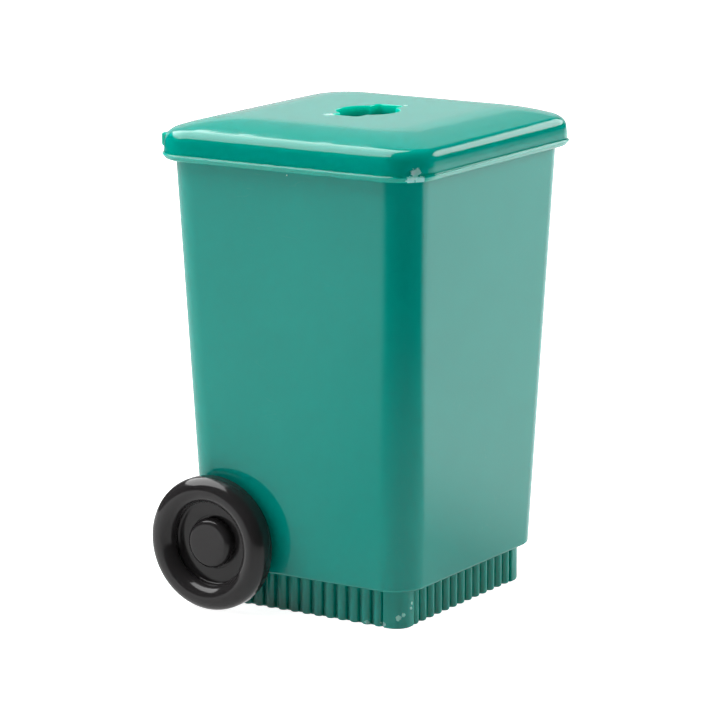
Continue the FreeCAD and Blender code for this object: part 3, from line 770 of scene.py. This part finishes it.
# %% Lid shell
lid_low, lid_high = (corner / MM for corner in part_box("lid"))
LIP_PROUD = 0.22
LID_HALF_X = lid_high.x - LIP_PROUD
LID_HALF_Y = -lid_low.y - LIP_PROUD
LID_CORNER = 5.2
LID_WALL = 1.1
SKIRT_Z = 59.6
SHOULDER_Z = 63.3
CROWN_INSET = 5.6
SHOULDER_ROUND = 1.8
CROWN_BEND = 22.0
DRAFT = 0.09
HOLE_RADIUS = 4.2
SLOT_HALF_LENGTH, SLOT_HALF_WIDTH, SLOT_CORNER = 5.8, 2.0, 0.8
print("lid skirt half sizes, mm:", round(LID_HALF_X, 2), round(LID_HALF_Y, 2))

# %% The lid's knocks, painted highlights and its plastic
CHIP_REACH, CHIP_HEIGHT = 1.5, 2.2
CHIP_DEPTH, CHIP_ROUGHNESS, CHIP_GRAIN = 0.22, 0.3, 2.3
chip_angle = math.radians(53)
CHIP = Vector((
    -(LID_HALF_X - LID_CORNER) - LID_CORNER * math.cos(chip_angle),
    -(LID_HALF_Y - LID_CORNER) - LID_CORNER * math.sin(chip_angle),
    SKIRT_Z + 1.0,
))

LID_KNOCKS_AND_HIGHLIGHTS = [
    (CHIP + Vector((0.05, -0.1, 0.2)), 1.0, 0.28),
    (CHIP + Vector((-0.45, 0.45, -0.75)), 0.9, 0.0),
    (CHIP + Vector((0.1, -0.1, -0.85)), 0.8, 0.0),
    (CHIP + Vector((0.6, -0.45, -0.75)), 0.8, 0.0),
    # painted highlights: pale marks where the rounded ends of the slot catch the light
    (Vector((-6.1, 2.2, 64.95)), 1.05, 0.0),
    (Vector((6.2, -2.0, 64.9)), 0.5, 0.0),
]
green_lid = moulded_plastic(
    "green_lid_plastic", GREEN_LID_PAINTED_LIGHTER, GREEN_WEAR_AND_HIGHLIGHT, (0.07, 0.11), 0.012, LID_KNOCKS_AND_HIGHLIGHTS,
    glow=1.0, depth=2.0, painted_glow=(63.2, lid_high.z, 8.0, (0.24, 0.155)),
)
print("marks on the lid:", len(LID_KNOCKS_AND_HIGHLIGHTS))

# %% The lid's sections


def lid_section(grow, z):
    return rounded_loop(LID_HALF_X + grow, LID_HALF_Y + grow, LID_CORNER + grow, z)


def keyhole_loop(grow, z):
    """The pencil hole: the outer one of a circle and a slot, in each direction."""
    points = []
    for angle in DIRECTIONS:
        slot = rounded_reach(
            angle, SLOT_HALF_LENGTH + grow, SLOT_HALF_WIDTH + grow, SLOT_CORNER + grow
        )
        reach = max(HOLE_RADIUS + grow, slot)
        points.append(Vector((reach * math.cos(angle), reach * math.sin(angle), z)))
    return points


def crown_profile():
    """The section from the skirt's top over the shoulder to the flat top, as inset and z."""
    top_z = lid_high.z
    slope = math.atan2(top_z - SHOULDER_Z, CROWN_INSET)
    rise = SHOULDER_ROUND * math.tan((math.pi / 2 - slope) / 2)
    steps = []
    for t in arc_steps(0, 90 - math.degrees(slope), 9):
        inset = DRAFT + SHOULDER_ROUND * (1 - math.cos(t))
        steps.append((inset, SHOULDER_Z - rise + SHOULDER_ROUND * math.sin(t)))
    ease = CROWN_BEND * math.tan(slope / 2)
    for t in arc_steps(math.degrees(slope), 0, 12):
        inset = CROWN_INSET + ease - CROWN_BEND * math.sin(t)
        steps.append((inset, top_z - CROWN_BEND * (1 - math.cos(t))))
    return steps


print("steps in the lid's crown:", len(crown_profile()))

# %% Lid loft
def make_lid():
    lip_steps = [
        (-LID_WALL + 0.12, 0.0), (-0.55, 0.0), (-0.32, 0.03), (-0.16, 0.12), (-0.04, 0.26),
        (0.08, 0.46), (LIP_PROUD - 0.02, 0.58), (LIP_PROUD, 0.66), (LIP_PROUD - 0.04, 0.74),
        (0.08, 0.80), (0.02, 0.88), (0.0, 1.0),
    ]
    levels = [lid_section(grow, SKIRT_Z + up) for grow, up in lip_steps]
    for up in (1.15, 1.35, 1.6, 1.9):
        levels.append(lid_section(-DRAFT * (up - 1) / 1.6, SKIRT_Z + up))
    for inset, z in crown_profile():
        corner = LID_CORNER - inset * 0.15
        levels.append(rounded_loop(LID_HALF_X - inset, LID_HALF_Y - inset, corner, z))
    edge = 0.18
    for t in arc_steps(90, 0, 4):
        grow = edge * (1 - math.cos(t))
        levels.append(keyhole_loop(grow, lid_high.z - edge * (1 - math.sin(t))))
    underside = bin_high.z
    levels.append(keyhole_loop(0, underside + 0.02))
    levels.append(lid_section(-LID_WALL - 0.3, underside + 0.02))
    levels.append(lid_section(-LID_WALL, underside - 0.28))
    levels.append(lid_section(-LID_WALL, SKIRT_Z + 0.12))
    points = [chipped(p) for level in levels for p in level]
    faces = loft_faces(len(levels), len(DIRECTIONS), closed=True)
    return new_piece("lid_shell", points, faces, green_lid, "lid", ["lid"])


def chipped(point):
    """Press the knocked place on the lid's lower edge in, with a ragged surface."""
    away = (point - CHIP).length / CHIP_REACH
    if away >= 1 or point.z > SKIRT_Z + CHIP_HEIGHT:
        return point
    rough = CHIP_ROUGHNESS * noise.noise(point * CHIP_GRAIN)
    depth = (1 - away**2) * (CHIP_DEPTH + rough)
    return point - Vector((point.x, point.y, 0)).normalized() * max(depth, 0)


lid_shell = make_lid()

# %% [markdown]
# ## The lid's socket and rear tab
# Under the hole a short rectangular collar grips the sharpener block. Behind the lid a low
# rounded tab gives a thumb something to push when the lid is stuck.

# %% Socket and tab
SOCKET_WALL = 1.2
SOCKET_DEPTH = 8.0
SEAT_GAP = 0.05
block_low, block_high = (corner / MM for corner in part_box("sharpener_block"))


def make_socket():
    inner_x, inner_y = block_high.x + SEAT_GAP, block_high.y + SEAT_GAP
    low, high = block_high.z - SOCKET_DEPTH, block_high.z + 0.2
    edge = 0.25
    steps = [
        (SOCKET_WALL, high), (SOCKET_WALL, low + edge), (SOCKET_WALL - 0.07, low + 0.07),
        (SOCKET_WALL - edge, low), (edge, low), (0.07, low + 0.07), (0, low + edge), (0, high),
    ]
    levels = [rounded_loop(inner_x + g, inner_y + g, 0.3 + g, z) for g, z in steps]
    points = [p for level in levels for p in level]
    faces = loft_faces(len(levels), len(DIRECTIONS), closed=True)
    return new_piece("lid_socket", points, faces, green_lid, "lid")


def make_tab():
    """A bar along the lid's back edge, with round ends and softened long edges."""
    half_width, thickness = 15.8, 1.8
    top = lid_high.z - 2.7
    root, tip = lid_high.y - 2.6, lid_high.y + 0.1
    soft = 0.35
    section = []
    for corner_y, corner_z, start in (
        (tip - soft, top - soft, 90), (tip - soft, top - thickness + soft, 0)
    ):
        for t in arc_steps(start, start - 90, 5):
            section.append((corner_y + soft * math.cos(t), corner_z + soft * math.sin(t)))
    section = [(root, top)] + section + [(root, top - thickness)]
    points, stations = [], 40
    end_round = 0.45
    for i in range(stations + 1):
        t = math.pi * i / stations
        x = -half_width * math.cos(t)
        gap = max(0.0, abs(x) - (half_width - end_round)) / end_round
        pull = end_round * (1 - math.sqrt(max(0.0, 1 - gap**2)))
        for y, z in section:
            points.append((x, y - pull if y > root else y, z))
    count = len(section)
    faces = []
    for i in range(stations):
        for k in range(count):
            a, b = i * count + k, i * count + (k + 1) % count
            faces.append((a, b, b + count, a + count))
    faces.append(tuple(reversed(range(count))))
    faces.append(tuple(range(stations * count, (stations + 1) * count)))
    return new_piece("lid_rear_tab", points, faces, green_lid, "lid")


lid_socket = make_socket()
lid_tab = make_tab()

# %% [markdown]
# ## The ribbed base
# Half-round upright ribs run round the base between its plain corners. They give fingers a
# grip to pull the base off. The outline is drawn once, rib by rib, and the walls are that
# outline raised. A smaller collar on top pushes into the bin.

# %% Ribs, knocks and plastic of the base
RIB_COUNT = 13
RIB_RADIUS = 0.75
CORNER_LEG = 3.0
FLOOR_THICKNESS = 1.5
COLLAR_WALL = 1.2
BASE_TOP = bin_low.z
KNOCKS = (
    (Vector((-base_high.x + 0.5, -base_high.y + 0.8, 1.6)), 0.55, 0.0),
    (Vector((-base_high.x + 1.0, -base_high.y + 0.5, 1.9)), 0.4, 0.0),
    (Vector((-base_high.x + 2.2, -base_high.y, 2.6)), 0.35, 0.0),
    (Vector((-base_high.x + 2.4, -base_high.y, 3.2)), 0.35, 0.0),
    (Vector((-base_high.x, -base_high.y + 3.0, 0.6)), 0.6, 0.0),
    (Vector((-base_high.x, -base_high.y + 5.4, 0.4)), 0.5, 0.0),
)

green_base = moulded_plastic(
    "green_base_plastic", GREEN, GREEN_WEAR_AND_HIGHLIGHT, (0.14, 0.22),
    marks=KNOCKS, glow=0.9, depth=1.6,
)
print("marks on the base:", len(KNOCKS))

# %% The base's outline
def side_outline(half_along, half_out, inset, wobble):
    """One side of the base seen from above, running +along at depth -out."""
    points = []
    radius = max(BASE_CORNER - inset, 0.1)
    corner_x, corner_y = half_along - BASE_CORNER, half_out - BASE_CORNER
    for t in arc_steps(225, 270, 5):
        points.append((-corner_x + radius * math.cos(t), -corner_y + radius * math.sin(t)))
    leg = half_along - CORNER_LEG
    face = half_out - RIB_RADIUS
    pitch = 2 * leg / RIB_COUNT
    points.append((-leg - 0.12, -half_out + inset))
    points.append((-leg, -half_out + inset + 0.15))
    points.append((-leg, -face + inset * 0.3))
    for rib in range(RIB_COUNT):
        middle = -leg + pitch * (rib + 0.5)
        size = RIB_RADIUS - inset + wobble[rib]
        for t in arc_steps(180, 360, 10):
            points.append((middle + size * math.cos(t), -face + size * math.sin(t)))
    points.append((leg, -face + inset * 0.3))
    points.append((leg, -half_out + inset + 0.15))
    points.append((leg + 0.12, -half_out + inset))
    for t in arc_steps(270, 315, 5)[:-1]:
        points.append((corner_x + radius * math.cos(t), -corner_y + radius * math.sin(t)))
    return points


def base_outline(inset, seed=7):
    """All four sides, each turned a quarter from the one before."""
    chance = random.Random(seed)
    outline = []
    for quarter in range(4):
        half_along, half_out = base_high.x, base_high.y
        if quarter % 2:
            half_along, half_out = half_out, half_along
        wobble = [chance.uniform(-0.03, 0.0) for _ in range(RIB_COUNT)]
        c, s = round(math.cos(quarter * math.pi / 2)), round(math.sin(quarter * math.pi / 2))
        for x, y in side_outline(half_along, half_out, inset, wobble):
            outline.append((c * x - s * y, s * x + c * y))
    return outline


print("points round the base:", len(base_outline(0.0)))

# %% Ribbed tray and collar
def make_ribbed_base():
    foot = 0.3
    heights = [(foot * (1 - math.cos(t)), foot * (1 - math.sin(t))) for t in arc_steps(0, 90, 3)]
    levels = [(inset, z) for inset, z in reversed(heights)] + [(0.0, BASE_TOP)]
    points, faces = [], []
    for inset, z in levels:
        points += [Vector((x, y, z)) for x, y in base_outline(inset)]
    count = len(points) // len(levels)
    faces += loft_faces(len(levels), count, closed=False)
    faces.append(tuple(reversed(range(count))))
    hole_x = base_high.x - COLLAR_INSET - COLLAR_WALL
    hole_y = base_high.y - COLLAR_INSET - COLLAR_WALL
    hole = rounded_loop(hole_x, hole_y, BASE_CORNER - COLLAR_WALL, BASE_TOP)
    rim_start = (len(levels) - 1) * count
    hole_start = len(points)
    points += hole
    rim = points[rim_start:rim_start + count]
    where = list(range(rim_start, rim_start + count))
    where += range(hole_start, hole_start + len(hole))
    for a, b, c in tessellate_polygon([rim, hole]):
        faces.append((where[a], where[b], where[c]))
    floor_start = len(points)
    points += rounded_loop(hole_x, hole_y, BASE_CORNER - COLLAR_WALL, FLOOR_THICKNESS)
    inner = len(hole)
    for i in range(inner):
        j = (i + 1) % inner
        faces.append((hole_start + i, hole_start + j, floor_start + j, floor_start + i))
    faces.append(tuple(range(floor_start, floor_start + inner)))
    return new_piece(
        "ribbed_base", points, faces, green_base, "base", ["base_plug"]
    )


def make_collar():
    """The push-in collar; it is lower at the back, where the axle crosses above it."""
    outer_x, outer_y = base_high.x - COLLAR_INSET, base_high.y - COLLAR_INSET
    axle_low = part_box("axle")[0] / MM
    low_back = axle_low.z - 0.3
    step_y = axle_low.y - 0.3
    edge = 0.2
    steps = [(0, None), (0, edge), (edge, 0), (COLLAR_WALL - edge, 0), (COLLAR_WALL, edge)]
    levels = []
    for inset, drop in steps + [(COLLAR_WALL, None)]:
        loop = rounded_loop(outer_x - inset, outer_y - inset, BASE_CORNER - inset * 0.8, 0)
        for point in loop:
            top = low_back if point.y > step_y else base_high.z
            point.z = BASE_TOP - 0.3 if drop is None else top - drop
        levels.append(loop)
    points = [p for level in levels for p in level]
    faces = loft_faces(len(levels), len(DIRECTIONS), closed=True)
    return new_piece("base_collar", points, faces, green_base, "base")


ribbed_base = make_ribbed_base()
base_collar = make_collar()

# %% [markdown]
# ## Wheels and hub caps
# Turned shapes are a profile swept round the axle. The tyre and the disc are one moulding: a
# fat rounded rim, a dish, and a hole for the axle. The cap is a button with a rounded edge.

# %% Turned pieces
axle_low, axle_high = (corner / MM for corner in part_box("axle"))
AXLE_Y, AXLE_Z = (axle_low.y + axle_high.y) / 2, (axle_low.z + axle_high.z) / 2
TURN_STEPS = 144
TYRE_PROUD = 0.5
CAP_SUNK = 0.4

black_wheel = moulded_plastic(
    "black_wheel_plastic", BLACK, BLACK_WORN, (0.09, 0.16), 0.02, dust=0.1, glow=0.0
)
black_cap = moulded_plastic(
    "black_cap_plastic", BLACK, BLACK_WORN, (0.10, 0.18), 0.02, dust=0.1, glow=0.0
)


def turned_piece(name, profile, side, material, body, replaced):
    """Sweep a closed profile of (distance along the axle, radius) round the axle."""
    count = len(profile)
    points, faces = [], []
    for step in range(TURN_STEPS):
        t = 2 * math.pi * step / TURN_STEPS
        for along, radius in profile:
            y = AXLE_Y + radius * math.cos(t)
            points.append((side * along, y, AXLE_Z + radius * math.sin(t)))
    for step in range(TURN_STEPS):
        a, b = step * count, ((step + 1) % TURN_STEPS) * count
        for k in range(count):
            m = (k + 1) % count
            face = (a + k, a + m, b + m, b + k)
            faces.append(face if side > 0 else tuple(reversed(face)))
    return new_piece(name, points, faces, material, body, replaced)


def wheel_profile(node):
    low, high = (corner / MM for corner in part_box(node))
    inner = min(abs(low.x), abs(high.x))
    outer = max(abs(low.x), abs(high.x)) + TYRE_PROUD
    tyre = (high.z - low.z) / 2
    round_out, round_in = 1.75, 0.9
    dish_radius, dish_depth, bore = 5.75, 2.6, 1.33
    profile = [(inner, bore), (inner, tyre - round_in)]
    for t in arc_steps(180, 90, 8)[1:]:
        profile.append((inner + round_in + round_in * math.cos(t),
                        tyre - round_in + round_in * math.sin(t)))
    for t in arc_steps(90, -88, 26):
        profile.append((outer - round_out + round_out * math.cos(t),
                        tyre - round_out + round_out * math.sin(t)))
    floor_x = outer - dish_depth
    ease = 0.35
    for t in arc_steps(0, 90, 5):
        profile.append((floor_x + ease - ease * math.sin(t),
                        dish_radius - ease + ease * math.cos(t)))
    for radius, depth in ((3.60, 0.0), (3.56, 0.12), (3.3, 0.12)):
        profile.append((floor_x - depth, radius))
    profile.append((floor_x - 0.12, bore))
    return profile


def cap_profile(node):
    low, high = (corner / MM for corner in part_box(node))
    inner = min(abs(low.x), abs(high.x))
    outer = max(abs(low.x), abs(high.x)) - CAP_SUNK
    radius = (high.z - low.z) / 2 - 0.05
    edge, bore = 0.8, 1.27
    bore_end = axle_high.x + 0.03
    inner -= 0.3
    profile = [(inner, bore), (inner, radius - 0.1), (inner + 0.1, radius)]
    for t in arc_steps(90, 0, 8):
        profile.append((outer - edge + edge * math.cos(t), radius - edge + edge * math.sin(t)))
    profile += [(outer - 0.01, 1.2), (outer - 0.015, 0.02), (bore_end, 0.02), (bore_end, bore)]
    return profile


for side, label in ((-1, "left"), (1, "right")):
    wheel, cap = f"wheel_{label}", f"hub_cap_{label}"
    turned_piece(f"{label}_wheel_moulding", wheel_profile(wheel), side, black_wheel,
                 f"{label}_wheel", [wheel])
    turned_piece(f"{label}_cap_moulding", cap_profile(cap), side, black_cap, "bin", [cap])

# %% [markdown]
# ## Wheel bosses
# A wheel that rubbed on the bin's wall would scrape it, so a round pad stands between them. It
# is turned like the wheels, and takes the bin's green.

# %% Wheel bosses
def boss_profile():
    """A raised round pad on the bin's side that the wheel's inner face runs against."""
    face = min(abs(c.x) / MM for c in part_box("wheel_right")) - 0.15
    root = face - 1.4
    return [(root, 1.27), (root, 2.6), (face - 0.15, 2.6), (face, 2.45), (face, 1.27)]


for side, label in ((-1, "left"), (1, "right")):
    boss = turned_piece(f"{label}_wheel_boss", boss_profile(), side, green_bin, "bin", [])

# %% [markdown]
# ## The metal pieces
# The sharpener block, the blade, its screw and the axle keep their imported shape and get
# metals: a satin milled alloy, ground steel, zinc plate and drawn rod. All of them show fine
# lines that run the way the tool ran.

# %% Metals
def lined_metal(name, colour, gloss, stretch, turn=(0, 0, 0), relief=0.004):
    """Metal with fine tool lines along one direction and slightly uneven gloss."""
    material = bpy.data.materials.new(name)
    material.use_nodes = True
    tree = material.node_tree
    shader = tree.nodes["Principled BSDF"]
    shader.inputs["Metallic"].default_value = 1.0
    place = object_place(tree)
    lines = noise_value(tree, stretched(tree, place, stretch, turn), 900.0, 3.0, 0.7)
    patches = noise_value(tree, place, 300.0, 3.0)
    dull = tuple(c * 0.82 for c in colour)
    feed(tree, shader.inputs["Base Color"],
         mix_colour(tree, ramp(tree, patches, 0.3, 0.7), (*dull, 1), (*colour, 1)))
    rough = ramp(tree, lines, 0.3, 0.7, gloss[0], gloss[1])
    feed(tree, shader.inputs["Roughness"], rough)
    bump = tree.nodes.new("ShaderNodeBump")
    bump.inputs["Distance"].default_value = relief * MM
    tree.links.new(lines, bump.inputs["Height"])
    tree.links.new(bump.outputs["Normal"], shader.inputs["Normal"])
    return material


metals = {
    "sharpener_block": lined_metal("milled_alloy", (0.66, 0.67, 0.69), (0.42, 0.6), (1, 1, 0.08)),
    "blade": lined_metal("ground_steel", (0.62, 0.63, 0.65), (0.12, 0.26), (1, 0.1, 0.1)),
    "blade_screw": lined_metal("zinc_plate", (0.72, 0.70, 0.64), (0.22, 0.36), (1, 1, 1)),
    "axle": lined_metal("drawn_rod", (0.58, 0.59, 0.60), (0.2, 0.34), (0.06, 1, 1)),
}
for node, metal in metals.items():
    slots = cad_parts[node].material_slots
    for slot in slots:
        slot.material = metal
    print(node, "->", metal.name)
